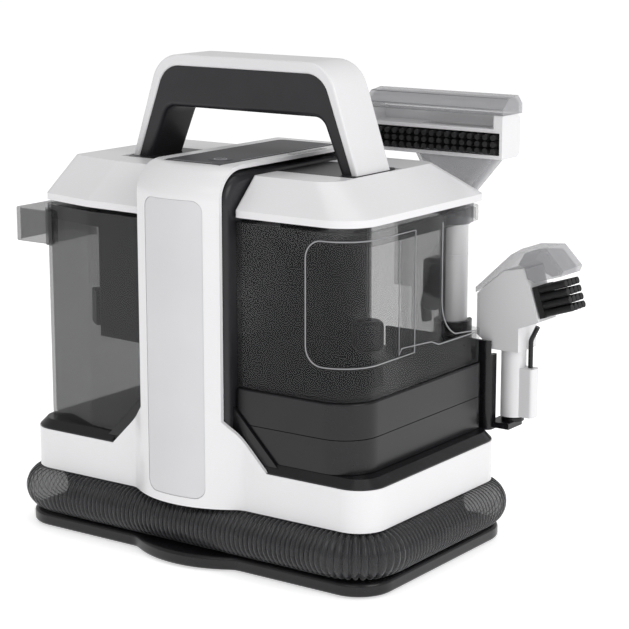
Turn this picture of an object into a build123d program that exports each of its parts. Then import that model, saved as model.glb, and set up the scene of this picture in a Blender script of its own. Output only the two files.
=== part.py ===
from build123d import *
import math
import os

os.makedirs("parts", exist_ok=True)

# Portable carpet and upholstery spot cleaner, in millimetres.
# X runs along the machine, -Y is the front, Z is up, and the floor is Z = 0.
# The origin is on the floor under the middle of the centre column.

# Driving dimensions: base
PLATE_X = 176.0            # half length of the base plate
PLATE_Y = 105.0            # half depth of the base plate
PLATE_R = 30.0             # its corner radius
PLATE_LOW = 1.5
PLATE_TOP = 12.5
FOOT_R = 11.0
FEET = [(x, y) for x in (-130, 130) for y in (-62, 62)] + [(0, 0)]
PLATE_SCREWS = [(x, y) for x in (-104, 104) for y in (-62, 62)]
BODY_X = 170.0             # half length of the white skirt
BODY_Y = 99.0              # half depth of the white skirt
BODY_R = 24.0
BOW_Y = -32.0              # centre of the arc that bows the front out
BOW_R = 85.0               # radius of that arc
BOW_BLEND = 16.0
SKIRT_LOW = 50.0
SKIRT_TOP = 83.0
WALL = 3.0

# Hose
HOSE_R = 18.5
HOSE_Z = PLATE_TOP + HOSE_R + 0.2
HOSE_INSET = 3.2           # hose centre line inside the skirt outline
CHANNEL_INSET = HOSE_INSET + HOSE_R + 0.4
HOSE_BEND = 27.0           # bend of the hose centre line round the base corners
CORE_R = 8.0
HOSE_START = 84.0

# Centre column and tower
COLUMN_X = 40.0            # half width of the white column
COLUMN_TOP = 315.0
COLUMN_R = 24.0            # bend from the front of the column to its top
FLARE_Z = 120.0            # height where the column starts to flare
TOWER_X = 42.5             # half width of the dark tower behind the column
TOWER_FRONT = -103.0
TOWER_BACK = 95.5
TOWER_TOP = 309.0
PANEL_X = 28.0
INLAY_TALL = 233.0
INLAY_Z = 173.5            # middle of the inlay panel
PANEL_FRONT = -90.0
PANEL_BACK = 64.0

# Deck between skirt and tanks
DECK_LOW = 83.2
DECK_TOP = 90.0
DECK_BEVEL = 6.0

# Tanks
TANK_IN = 43.6             # inner side of both tanks
TANK_FRONT = -93.0
TANK_BACK = 97.0
CLEAN_OUT = 164.0
DIRTY_OUT = 154.0
TANK_WALL = 2.5
CASE_LOW = 90.4
CASE_SEAM = 117.0
CASE_TOP = 145.0
LID_TOP = 306.0
LID_TOP_FRONT = -69.0
LID_TOP_BACK = 77.0
DIRTY_LID = 277.0          # lower edge of the lid of the dirty tank
DIRTY_TOP_OUT = 117.0      # outer side of the flat top of that lid
CLEAN_LID = 271.0
CLEAN_TOP_OUT = 151.0
RIM_DROP = 3.5             # clear tank wall ends this far under its lid
LID_BAND = 5.5             # upright edge band of a lid
LID_WALL = 2.6
GAP = 0.5
PIVOT_RISE = 4.5           # axis of a lid hinge above the lid's lower edge
POST_GAP = 4.2             # hinge axis to the post behind it, clear of the swinging lid wall
POST_WIDE = 3.5            # thickness of a hinge post
KNUCKLE = 6                # length of the middle knuckle of a lid hinge
PIVOT_IN = 6.5             # that axis, in from the outer side of the tank
HINGE_Y = (-30.0, 55.0)
PLUG_Y = 45.0              # fill and drain plugs in the tank covers
SIDES = {1: (DIRTY_OUT, DIRTY_LID, DIRTY_TOP_OUT), -1: (CLEAN_OUT, CLEAN_LID, CLEAN_TOP_OUT)}
CLEAN_PORT = (-105.0, 20.0)
FAN = (106.0, 2.0)         # axis of the vacuum motor
MOTOR_LOW = 98             # underside of the vacuum motor can
FLOAT = (70.0, 50.0)
BUTTON = (10.0, -66.0)

# Handle
HANDLE_Y = -4.0
HANDLE_WIDE = 46.0
HANDLE_TOP = 390.0
ARM_OUT = 114.0
ARM_LOW = 295.0
ARM_FRONT = -37.0
ARM_BACK = 30.0
FOOT_SCREW_X = 97.2
FOOT_OUT = 111.5           # outer end of a foot plate, clear of the lid's notch
FOOT_SCREW_Y = (HANDLE_Y - 12, HANDLE_Y + 12)

# Tools at the back
WAND_X = 106.5
WAND_Y = 122.5
WAND_R = 12.0
WAND_LOW = 132.0
WAND_HIGH = 266.0
HOSE_END = 116.0           # top of the hose under the wand
TRIGGER_Z = 203.0
NOZZLE_LOW = 307.0         # bottom of the wide nozzle body
NOZZLE_LEFT = 28.0
NOZZLE_RIGHT = 158.0
SMALL_X = 165.5
SMALL_Y = 122.5
SMALL_R = 10.5
NECK_LOW = 152.0           # bottom of the small brush head
DOCK_LOW = 85.0
DOCK_HIGH = 160.0
DOCK_Y = 100.2
CORD_X = -26.0             # mains lead inlet in the rear cover
CORD_Z = 130.0


def save(node, shape):
    """Write one node as a STEP file named after it."""
    export_step(shape, "parts/" + node + ".step")


def plan(half_x, half_y, corner, bow, inset=0.0):
    """Rounded rectangle with a bowed front, moved in by inset."""
    block = RectangleRounded(2 * (half_x - inset), 2 * (half_y - inset), corner - inset)
    face = block + Pos(0, BOW_Y) * Circle(bow - inset)
    meets = [v for v in face.vertices() if abs(v.Y + half_y - inset) < 0.05 and abs(v.X) < 70]
    return fillet(meets, BOW_BLEND + inset)


def rise(face, low, high):
    """Extrude a flat outline from one height to another."""
    return Pos(0, 0, low) * extrude(face, high - low)


def block(x0, x1, y0, y1, z0, z1):
    """Box between two corners."""
    centre = Pos((x0 + x1) / 2, (y0 + y1) / 2, (z0 + z1) / 2)
    return centre * Box(abs(x1 - x0), abs(y1 - y0), abs(z1 - z0))


def rod(x, y, z0, z1, radius):
    """Upright cylinder."""
    return Pos(x, y, (z0 + z1) / 2) * Cylinder(radius, z1 - z0)


def rod_x(x0, x1, y, z, radius):
    """Cylinder along X."""
    return Pos((x0 + x1) / 2, y, z) * Rot(0, 90, 0) * Cylinder(radius, x1 - x0)


def rod_y(x, y0, y1, z, radius):
    """Cylinder along Y."""
    return Pos(x, (y0 + y1) / 2, z) * Rot(90, 0, 0) * Cylinder(radius, y1 - y0)


def prism_y(points, y0, y1):
    """Solid with a polygon in the XZ plane, from y0 to y1."""
    face = make_face(Polyline([(x, 0, z) for x, z in points], close=True))
    return Pos(0, y0, 0) * extrude(face, y1 - y0, dir=(0, 1, 0))


def prism_x(points, x0, x1):
    """Solid with a polygon in the YZ plane, from x0 to x1."""
    face = make_face(Polyline([(0, y, z) for y, z in points], close=True))
    return Pos(x0, 0, 0) * extrude(face, x1 - x0, dir=(1, 0, 0))


def tank_plan(out, inset=0.0, side=1):
    """Outline of a tank seen from above; side is 1 for right and -1 for left."""
    x_in = side * (TANK_IN + inset)
    x_out = side * (out - inset)
    y_low = TANK_FRONT + inset
    y_high = TANK_BACK - inset
    if side > 0:
        points = [(x_in, y_low), (x_out, y_low), (x_out, y_high), (x_in, y_high)]
        radii = [3.0, 30.0 - inset, 15.0 - inset, 3.0]
    else:
        points = [(x_in, y_low), (-107.0, y_low + 3.0), (x_out, y_low + 15.0)]
        points += [(x_out, y_high), (x_in, y_high)]
        radii = [3.0, 10.0 - inset, 9.0 - inset, 15.0 - inset, 3.0]
    return rounded(points, radii)


def rounded(points, radii):
    """Face of a closed polygon with its own radius at each corner."""
    face = make_face(Polyline(points, close=True))
    for point, radius in zip(points, radii):
        near = face.vertices().sort_by_distance((point[0], point[1], 0))[0]
        face = fillet(near, radius)
    return face


def lid_top_plan(top_out, inset=0.0, side=1):
    """Outline of the flat top of a tank lid."""
    x_in = side * (TANK_IN + inset)
    x_out = side * (top_out - inset)
    y_low = LID_TOP_FRONT + inset
    y_high = LID_TOP_BACK - inset
    if side > 0:
        points = [(x_in, y_low), (x_out, y_low), (x_out, y_high), (x_in, y_high)]
        radii = [3.0, 20.0 - inset, 12.0 - inset, 3.0]
    else:
        points = [(x_in, y_low), (-96.0, y_low + 4.0), (x_out, y_low + 14.0)]
        points += [(x_out, y_high), (x_in, y_high)]
        radii = [3.0, 8.0 - inset, 8.0 - inset, 12.0 - inset, 3.0]
    return rounded(points, radii)


def base_plate():
    outline = plan(PLATE_X, PLATE_Y, PLATE_R, BOW_R + 3.0)
    solid = rise(outline, PLATE_LOW, PLATE_TOP)
    rims = solid.edges().group_by(Axis.Z)
    solid = fillet(rims[-1] + rims[0], 3.0)
    for x, y in FEET:
        solid -= rod(x, y, PLATE_LOW - 1, PLATE_LOW + 1.5, FOOT_R + 0.2)
    for x, y in PLATE_SCREWS:
        solid -= rod(x, y, PLATE_LOW - 1, PLATE_TOP + 1, 2.2)
    return solid


def rubber_feet():
    return Compound([rod(x, y, 0, PLATE_LOW + 1.5, FOOT_R) for x, y in FEET])


def base_screws():
    screws = []
    for x, y in PLATE_SCREWS:
        head = rod(x, y, PLATE_TOP, PLATE_TOP + 2.4, 3.8)
        screws.append(head + rod(x, y, PLATE_LOW + 0.5, PLATE_TOP, 2.0))
    return Compound(screws)


def hose_core():
    """Inner wall of the hose channel, its top, and the port that the hose starts from."""
    core_x = 2 * (BODY_X - CHANNEL_INSET)
    core_y = 2 * (BODY_Y - CHANNEL_INSET)
    outer = RectangleRounded(core_x, core_y, CORE_R)
    inner = RectangleRounded(core_x - 2 * WALL, core_y - 2 * WALL, CORE_R - WALL)
    lip_out = plan(BODY_X, BODY_Y, BODY_R, BOW_R, WALL + 0.4)
    solid = rise(outer, PLATE_TOP, SKIRT_LOW + 3) - rise(inner, PLATE_TOP - 1, SKIRT_LOW)
    solid += rise(lip_out, SKIRT_LOW + 1, SKIRT_LOW + 4)
    y = BODY_Y - HOSE_INSET
    solid += block(60, 76, y - HOSE_R - 1, y, HOSE_Z - 14, HOSE_Z + 14)
    solid += rod_x(66, HOSE_START - 0.2, y, HOSE_Z, HOSE_R - 0.5)
    return solid - rod_x(70, HOSE_START + 1, y, HOSE_Z, HOSE_R - 3)


def column_block(inset):
    """White column as a full block: bowed front, rounded over at the top."""
    face = plan(BODY_X, BODY_Y, BODY_R, BOW_R, inset) & Rectangle(2 * COLUMN_X, 400)
    solid = rise(face, SKIRT_LOW, COLUMN_TOP - inset)
    top = solid.edges().group_by(Axis.Z)[-1]
    front = top.sort_by(Axis.Y)[0]
    back = top.sort_by(Axis.Y)[-1]
    return fillet([front, back], COLUMN_R - inset)


def skirt_ring():
    """Skirt and flares, open at the top and bottom."""
    outer = plan(BODY_X, BODY_Y, BODY_R, BOW_R)
    inner = plan(BODY_X, BODY_Y, BODY_R, BOW_R, WALL)
    ring = rise(outer, SKIRT_LOW, FLARE_Z) - rise(inner, SKIRT_LOW - 1, FLARE_Z + 1)
    foot = COLUMN_X + FLARE_Z - SKIRT_TOP
    far = BODY_X + 10
    points = [(-far, SKIRT_LOW), (far, SKIRT_LOW), (far, SKIRT_TOP), (foot, SKIRT_TOP)]
    points += [(COLUMN_X, FLARE_Z), (-COLUMN_X, FLARE_Z), (-foot, SKIRT_TOP), (-far, SKIRT_TOP)]
    return ring & prism_y(points, -150, 150)


def rear_mask():
    """The region of the white body that belongs to the separate rear cover."""
    lower = block(-118, 118, 90, 120, SKIRT_LOW - 1, SKIRT_TOP + 45)
    return lower + block(-60, 60, 75, 120, SKIRT_TOP, COLUMN_TOP + 1)


def white_body():
    shell = skirt_ring() + (column_block(0.0) - column_block(WALL))
    shell -= block(-COLUMN_X - 1, COLUMN_X + 1, -92, 92, SKIRT_LOW - 1, FLARE_Z + 1)
    panel = block(-PANEL_X - 0.2, PANEL_X + 0.2, PANEL_FRONT - 0.2, PANEL_BACK + 0.2, 294, 324)
    lens = block(30.8, 38.2, -8.2, 38.2, 304, 324)
    return shell - panel - lens


def front_shell():
    body = white_body() - rear_mask()
    return body - inlay_cutter(0.15)


def rear_shell():
    slots = [block(-22, 22, 90, 110, z, z + 3) for z in range(209, 269, 9)]
    solid = (white_body() & rear_mask()) - rod_y(CORD_X, 85, 105, CORD_Z, 7.2)
    for slot in slots:
        solid -= slot
    return solid


def inlay_cutter(grow):
    """Region of the column front that the inlay panel fills."""
    face = Plane.XZ * RectangleRounded(2 * (PANEL_X + grow), INLAY_TALL + 2 * grow, 9)
    solid = Pos(0, -125, INLAY_Z) * extrude(face, 30, dir=(0, 1, 0))
    skin_out = rise(Pos(0, BOW_Y) * Circle(BOW_R + 5), 40, 300)
    skin_in = rise(Pos(0, BOW_Y) * Circle(BOW_R - 1.6), 40, 300)
    return solid & (skin_out - skin_in)


def column_inlay():
    skin = rise(Pos(0, BOW_Y) * Circle(BOW_R - 0.4), 40, 300)
    return inlay_cutter(-0.15) & skin


def deck_tray(side):
    """Half of the dark bevelled deck, with the sloping wedge beside the flare."""
    outline = RectangleRounded(2 * BODY_X - 0.6, 2 * BODY_Y - 0.6, BODY_R)
    deck = rise(outline, DECK_LOW, DECK_TOP)
    deck = chamfer(deck.edges().group_by(Axis.Z)[-1], DECK_BEVEL)
    lip = RectangleRounded(2 * BODY_X - 7.0, 2 * BODY_Y - 7.0, BODY_R - 3)
    deck += rise(lip, DECK_LOW - 6, DECK_LOW)
    inner = RectangleRounded(2 * BODY_X - 13.0, 2 * BODY_Y - 13.0, BODY_R - 6)
    deck -= rise(inner, DECK_LOW - 7, DECK_LOW + 1.5)
    reach = COLUMN_X + FLARE_Z + 12.7
    near = TOWER_X + 0.2
    points = [(near, DECK_TOP - 2), (reach - DECK_TOP + 2, DECK_TOP - 2), (near, reach - near)]
    deck += prism_y([(side * x, z) for x, z in points], -95.3, TOWER_BACK - 2)
    foot = COLUMN_X + FLARE_Z - DECK_LOW + 1
    deck -= block(-foot, foot, -130, -95.5, DECK_LOW - 8, DECK_TOP + 60)
    deck -= block(-foot, foot, 95.5, 130, DECK_LOW - 8, DECK_TOP + 60)
    deck -= block(-side * 200, side * near, -130, 130, DECK_LOW - 10, DECK_TOP + 60)
    deck -= block(-119, 119, BODY_Y - 8, 130, DECK_LOW - 8, DECK_LOW)
    return deck


def deck_tray_left():
    port = rod(CLEAN_PORT[0], CLEAN_PORT[1], DECK_LOW - 8, DECK_TOP + 1, 14)
    return deck_tray(-1) - port


def tower_profile(inset, low):
    """Side view of the dark tower as a solid, rounded at the top front and top back."""
    points = [(TOWER_FRONT + inset, low), (TOWER_FRONT + inset, TOWER_TOP - inset)]
    points += [(TOWER_BACK - inset, TOWER_TOP - inset), (TOWER_BACK - inset, low)]
    half = TOWER_X - inset
    solid = prism_x(points, -half, half)
    top = solid.edges().filter_by(Axis.X).group_by(Axis.Z)[-1]
    return fillet(top, 22.0 - inset)


def tower_core():
    solid = tower_profile(0.0, SKIRT_LOW + 4.2)
    rim = solid.edges().filter_by(lambda e: abs(abs(e.center().X) - TOWER_X) < 0.01)
    rim = rim.filter_by(lambda e: e.center().Z > SKIRT_LOW + 5)
    solid = fillet(rim, 7.5)
    solid -= tower_profile(WALL, SKIRT_LOW)
    solid -= block(-30, 30, PANEL_FRONT + 2, PANEL_BACK - 2, 300, 324)
    for side in (-1, 1):
        x_in, x_out = side * (TOWER_X - 4), side * (TOWER_X + 2)
        solid -= block(x_in, x_out, ARM_FRONT + 6, ARM_BACK - 6, ARM_LOW + 2, LID_TOP - 2)
    solid -= rod_y(CORD_X, 88, 100, CORD_Z, 8)
    return solid - block(-22, 22, 90, 100, 204, 272)


def control_panel():
    solid = block(-PANEL_X, PANEL_X, PANEL_FRONT, PANEL_BACK, COLUMN_TOP - 5, COLUMN_TOP + 0.4)
    upright = solid.edges().filter_by(Axis.Z)
    solid = fillet(upright, 6.0)
    solid = fillet(solid.edges().group_by(Axis.Z)[-1], 0.8)
    solid -= rod(BUTTON[0], BUTTON[1], COLUMN_TOP - 2.4, COLUMN_TOP + 2, 9.3)
    return solid - rod(BUTTON[0], BUTTON[1], COLUMN_TOP - 8, COLUMN_TOP + 2, 3.3)


def power_button():
    cap = rod(BUTTON[0], BUTTON[1], COLUMN_TOP - 0.6, COLUMN_TOP + 0.8, 9.0)
    cap = fillet(cap.edges().group_by(Axis.Z)[-1], 0.5)
    return cap + rod(BUTTON[0], BUTTON[1], COLUMN_TOP - 7.5, COLUMN_TOP - 0.6, 3.0)


def circuit_board():
    board = block(-26, 26, -80, 0, COLUMN_TOP - 13.6, COLUMN_TOP - 12)
    board += rod(BUTTON[0], BUTTON[1], COLUMN_TOP - 12, COLUMN_TOP - 9.4, 4.0)
    board += block(-20, -6, -30, -12, COLUMN_TOP - 21, COLUMN_TOP - 13.6)
    return board + block(2, 22, -40, -20, COLUMN_TOP - 19, COLUMN_TOP - 13.6)


def indicator_lens():
    solid = block(31, 38, -8, 38, COLUMN_TOP - 3.2, COLUMN_TOP + 0.1)
    return fillet(solid.edges().group_by(Axis.Z)[-1], 0.5)


def case_outline(inset):
    return tank_plan(DIRTY_OUT + 0.8, inset)


def case_cut(low, grow=0.0):
    """Slope under the inner side of the motor case, parallel to the flare."""
    reach = COLUMN_X + FLARE_Z + 13.6 + grow
    points = [(40, low - 5), (reach - low + 5, low - 5), (40, reach - 40)]
    return prism_y(points, -130, 130)


def lower_motor_case():
    solid = rise(case_outline(0), CASE_LOW, CASE_SEAM - 0.3) - case_cut(CASE_LOW)
    hollow = rise(case_outline(WALL), CASE_LOW + WALL, CASE_SEAM) - case_cut(CASE_LOW, 4.2)
    return solid - hollow


def upper_motor_case():
    solid = rise(case_outline(0), CASE_SEAM + 0.3, CASE_TOP)
    solid = fillet(solid.edges().group_by(Axis.Z)[-1], 1.5)
    solid -= case_cut(CASE_LOW)
    return solid - rise(case_outline(WALL), CASE_SEAM, CASE_TOP - WALL)


def vacuum_motor():
    can = rod(FAN[0], FAN[1], MOTOR_LOW, 120, 27)
    can = fillet(can.edges().group_by(Axis.Z)[0], 3)
    foot = rod(FAN[0], FAN[1], 93.8, MOTOR_LOW, 17)
    return can + foot - rod(FAN[0], FAN[1], 92, 121, 4.05)


def fan_housing():
    drum = rod(FAN[0], FAN[1], 120.2, 140.5, 37)
    drum -= rod(FAN[0], FAN[1], 122, 139, 35)
    drum += block(FAN[0] + 10, FAN[0] + 36, FAN[1] + 30, FAN[1] + 58, 122.5, 138)
    drum -= block(FAN[0] + 12, FAN[0] + 34, FAN[1] + 20, FAN[1] + 59, 124.5, 136)
    drum -= rod(FAN[0], FAN[1], 122, 139, 35)
    return drum - rod(FAN[0], FAN[1], 116, 122.5, 6) - rod(FAN[0], FAN[1], 138, 142, 10)


def impeller():
    hub = rod(FAN[0], FAN[1], 99, 137, 4.0)
    hub += rod(FAN[0], FAN[1], 124, 126, 32)
    for turn in range(9):
        blade = Pos(18, 0, 131) * Rot(0, 0, 35) * Box(22, 1.6, 10.2)
        hub += Pos(FAN[0], FAN[1]) * Rot(0, 0, 40 * turn) * blade
    return hub


def water_pump():
    can = rod(-15, 30, 96, 144, 17)
    head = block(-36, 6, 12, 48, 144, 162)
    ports = rod(-28, 40, 162, 176, 3.5) + rod(-2, 20, 162, 176, 3.5)
    return can + fillet(head.edges().filter_by(Axis.Z), 5) + ports + block(-36, 6, 14, 46, 92, 96)


def pump_shelf():
    shelf = block(3 - TOWER_X + 0.3, TOWER_X - 3.3, -60, 80, 88, 91.8)
    for x in (-30, 30):
        for y in (-45, 65):
            shelf += rod(x, y, SKIRT_LOW + 4.2, 88, 5)
    return shelf


def pump_hose():
    line = FilletPolyline((-28, 40, 176), (-28, 40, 288), (-28, -20, 292), radius=14)
    ring = Plane(line @ 0, z_dir=line % 0) * (Circle(4.6) - Circle(3.0))
    return sweep(ring, line)


def exhaust_muffler():
    foam = block(-34, 34, 70, 90, 206, 270)
    return fillet(foam.edges().filter_by(Axis.Y), 5)


def foot_plate(side):
    solid = block(TOWER_X - 3.6, FOOT_OUT, ARM_FRONT, ARM_BACK, ARM_LOW, LID_TOP)
    outer = solid.edges().filter_by(Axis.Z).group_by(Axis.X)[-1]
    solid = fillet(outer, 8)
    inner = block(0, TOWER_X + 0.05, -60, 60, ARM_LOW - 1, LID_TOP + 1)
    tongue = block(TOWER_X - 3.6, TOWER_X + 1, ARM_FRONT + 6.5, ARM_BACK - 6.5, ARM_LOW + 2.5, LID_TOP - 2.5)
    solid = solid - inner + tongue
    for y in FOOT_SCREW_Y:
        solid -= rod(FOOT_SCREW_X, y, ARM_LOW - 1, LID_TOP + 1, 2.2)
    return solid if side > 0 else mirror(solid, Plane.YZ)


def handle_band(points_out, points_in, radius_out, radius_in, half_y):
    """Band in the XZ plane between two arches, both open at the feet."""
    outer = arch_face(points_out, radius_out)
    inner = arch_face(points_in, radius_in)
    solid = extrude(outer - inner, half_y, both=True)
    return Pos(0, HANDLE_Y, 0) * solid


def arch_face(points, radius):
    """Arch with two rounded shoulders, standing on the foot plates."""
    half_low, half_high, top = points
    line = [(-half_low, LID_TOP), (-half_high, top), (half_high, top), (half_low, LID_TOP)]
    face = make_face(Plane.XZ * Polyline(line, close=True))
    shoulders = face.vertices().group_by(Axis.Z)[-1]
    return fillet(shoulders, radius)


def handle_shell():
    solid = handle_band((111, 83, HANDLE_TOP), (105, 77.5, HANDLE_TOP - 9), 28, 21, HANDLE_WIDE / 2)
    rim = solid.edges().filter_by(lambda e: abs(e.center().Y - HANDLE_Y) > HANDLE_WIDE / 2 - 0.1)
    return fillet(rim.filter_by(lambda e: e.center().Z > LID_TOP + 1), 1.6)


def handle_grip():
    solid = handle_band((104.9, 77.4, HANDLE_TOP - 9.1), (94.0, 76.5, 348.0), 20.9, 12, HANDLE_WIDE / 2 - 1.2)
    rim = solid.edges().filter_by(lambda e: abs(e.center().Y - HANDLE_Y) > HANDLE_WIDE / 2 - 1.4)
    inside = rim.filter_by(lambda e: e.center().Z > LID_TOP + 1 and abs(e.center().X) < 90)
    return fillet(inside.filter_by(lambda e: e.center().Z < 360), 4.0) - handle_holes()


def handle_holes():
    holes = Compound([rod(x, y, LID_TOP - 1, LID_TOP + 12, 1.8) for x, y in foot_points()])
    return holes


def foot_points():
    return [(side * FOOT_SCREW_X, y) for side in (-1, 1) for y in FOOT_SCREW_Y]


def handle_screws():
    screws = []
    for x, y in foot_points():
        shank = rod(x, y, ARM_LOW, LID_TOP + 10, 1.75)
        screws.append(shank + rod(x, y, ARM_LOW - 2.6, ARM_LOW, 3.4))
    return Compound(screws)


def tank_shell(side, low):
    """Clear tank: open box with a rounded outline."""
    out, lid, _ = SIDES[side]
    rim = lid - RIM_DROP
    solid = rise(tank_plan(out, 0, side), low, rim)
    solid = fillet(solid.edges().group_by(Axis.Z)[0], 1.2)
    return solid - rise(tank_plan(out, TANK_WALL, side), low + TANK_WALL, rim + 1)


def clean_cut(grow=0.0):
    """Slope across the lower inner side of the clean tank."""
    reach = COLUMN_X + FLARE_Z + 13.6 + grow
    points = [(-40, 80), (-(reach - 80), 80), (-40, reach - 40)]
    return prism_y(points, -130, 130)


def clean_tank_shell():
    low = DECK_TOP + GAP
    rim = CLEAN_LID - RIM_DROP
    outer = rise(tank_plan(CLEAN_OUT, 0, -1), low, rim) - clean_cut()
    inner = rise(tank_plan(CLEAN_OUT, TANK_WALL, -1), low + TANK_WALL, rim + 1)
    shell = outer - (inner - clean_cut(TANK_WALL * math.sqrt(2)))
    shell += rod(CLEAN_PORT[0], CLEAN_PORT[1], low + 1, low + 9, 10)
    shell -= rod(CLEAN_PORT[0], CLEAN_PORT[1], low - 1, low + 10, 4.0)
    return shell - rod(CLEAN_PORT[0], CLEAN_PORT[1], low - 1, low + 6.5, 8.0)


def valve_plunger():
    """Sprung valve in the tank floor: foot below, seal resting on the boss above."""
    low = DECK_TOP + GAP
    foot = rod(CLEAN_PORT[0], CLEAN_PORT[1], low + 1.2, low + 3.0, 6.5)
    stem = rod(CLEAN_PORT[0], CLEAN_PORT[1], low + 1.2, low + 10, 3.6)
    return foot + stem + rod(CLEAN_PORT[0], CLEAN_PORT[1], low + 9.1, low + 12, 8.5)


def valve_socket():
    """Cup in the deck under the valve, with the pin that lifts it."""
    cup = rod(CLEAN_PORT[0], CLEAN_PORT[1], DECK_LOW - 6, DECK_TOP, 13.6)
    cup -= rod(CLEAN_PORT[0], CLEAN_PORT[1], DECK_LOW - 3, DECK_TOP + 1, 11)
    return cup + rod(CLEAN_PORT[0], CLEAN_PORT[1], DECK_LOW - 4, DECK_TOP - 0.3, 2.4)


def tank_deck(side):
    """Inner cover that plugs the mouth of a tank and carries the lid hinge."""
    out, lid, _ = SIDES[side]
    rim = lid - RIM_DROP
    top = rim - 0.6
    neck = rise(tank_plan(out, TANK_WALL + 0.15, side), rim - 12, top)
    neck -= rise(tank_plan(out, TANK_WALL + 2.2, side), rim - 13, top - 2.0)
    pivot_x = side * (out - PIVOT_IN)
    pivot_z = lid + PIVOT_RISE
    post_out = pivot_x - side * POST_GAP
    post_in = post_out - side * POST_WIDE
    for y in HINGE_Y:
        neck += block(post_in, post_out, y, y + KNUCKLE, top - 0.5, pivot_z + 2)
        neck += block(post_in, pivot_x, y, y + KNUCKLE, pivot_z - 2, pivot_z + 2)
        neck += rod_y(pivot_x, y, y + KNUCKLE, pivot_z, 2.0)
        neck += rod_y(pivot_x, y - 5.8, y + KNUCKLE + 5.8, pivot_z, 1.2)
    x_mid = side * (TANK_IN + out) / 2
    neck -= rod(x_mid, PLUG_Y, top - 6, top + 1, 17)
    return neck


def dirty_tank_deck():
    """Cover of the dirty tank with the guide rod of the float."""
    rim = DIRTY_LID - RIM_DROP
    guide = rod(FLOAT[0], FLOAT[1], CASE_TOP + GAP + TANK_WALL + 0.3, rim - 2.0, 3.0)
    return tank_deck(1) + guide


def fill_plug(side):
    out, lid, _ = SIDES[side]
    top = lid - RIM_DROP - 0.6
    x_mid = side * (TANK_IN + out) / 2
    plug = rod(x_mid, PLUG_Y, top - 6, top + 0.2, 16.8) + rod(x_mid, PLUG_Y, top + 0.2, top + 2.2, 20)
    plug += block(x_mid - 14, x_mid + 14, PLUG_Y - 1.5, PLUG_Y + 1.5, top + 2, top + 7)
    return plug - rod(x_mid, PLUG_Y, top - 7, top - 2, 14.5)


def tank_lid(side):
    """White bevelled lid, notched from the tower side around the foot plate."""
    out, low, top_out = SIDES[side]
    band = low + LID_BAND
    edge = rise(tank_plan(out, 0, side), low, band)
    foot = Pos(0, 0, band) * tank_plan(out, 0, side)
    head = Pos(0, 0, LID_TOP) * lid_top_plan(top_out, 0, side)
    foot_in = Pos(0, 0, band) * tank_plan(out, LID_WALL, side)
    head_in = Pos(0, 0, LID_TOP - LID_WALL) * lid_top_plan(top_out, LID_WALL, side)
    full = edge + loft([foot, head])
    solid = full - rise(tank_plan(out, LID_WALL, side), low - 1, band) - loft([foot_in, head_in])
    notch = block(TOWER_X - 10, ARM_OUT + 0.8, ARM_FRONT - 0.8, ARM_BACK + 0.8, low - 2, LID_TOP + 2)
    solid -= notch if side > 0 else mirror(notch, Plane.YZ)
    pivot_x = side * (out - PIVOT_IN)
    pivot_z = low + PIVOT_RISE
    for y in HINGE_Y:
        for start in (y - 5.5, y + KNUCKLE + 0.5):
            solid += block(pivot_x - 2.4, pivot_x + 2.4, start, start + 5, pivot_z, LID_TOP) & full
            solid += rod_y(pivot_x, start, start + 5, pivot_z, 2.4)
            solid -= rod_y(pivot_x, start - 0.5, start + 5.5, pivot_z, 1.25)
    return solid


def clean_tank_pull():
    """Finger pull: a loop round the outer front corner of the clean tank."""
    outer = rounded([(-151, -84), (-195, -84), (-195, -16), (-155, -16)], [0.4, 9, 9, 0.4])
    inner = rounded([(-154, -81), (-192, -81), (-192, -19), (-154, -19)], [0.4, 6, 6, 0.4])
    loop = rise(outer, 235, 262) - rise(inner, 234, 263)
    loop += rise(tank_plan(CLEAN_OUT + 3.0, 0, -1), 233, 263) & block(-168, -154, -86, -14, 232, 264)
    return loop - rise(tank_plan(CLEAN_OUT, -0.05, -1), 200, 300)


def filter_housing():
    """Dark pick-up and filter housing that hangs inside the clean tank."""
    low = 164.0
    top = CLEAN_LID - RIM_DROP - 2.8
    face = rounded([(-56, -82), (-105, -79), (-120, -62), (-56, -18)], [2, 4, 4, 2])
    body = rise(face, low, top) - rise(offset(face, -2), low - 1, top - 2.4)
    step = rounded([(-115, -72), (-131, -60), (-121, -46), (-105, -58)], [2, 3, 3, 2])
    return body + rise(step, low + 6, low + 34)


def separator_duct():
    """Suction duct and separator wall inside the dirty tank."""
    top = DIRTY_LID - RIM_DROP - 2.8
    duct = block(82, 118, 70, 91, 154, top) - block(84, 116, 72, 89, 153, top - 2)
    return duct - block(82, 99, 60, 80, 153, 204)


def spray_baffle():
    """V-shaped deflector under the cover of the dirty tank."""
    top = DIRTY_LID - RIM_DROP - 2.8
    points = [(57, top), (60, top), (84, top - 17), (108, top), (111, top), (84, top - 20)]
    return prism_y(points, -84, -8)


def float_ball():
    ball = rod(FLOAT[0], FLOAT[1], 151, 176, 13)
    ball = fillet(ball.edges().group_by(Axis.Z)[-1] + ball.edges().group_by(Axis.Z)[0], 5)
    return ball - rod(FLOAT[0], FLOAT[1], 140, 190, 3.1)


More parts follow.
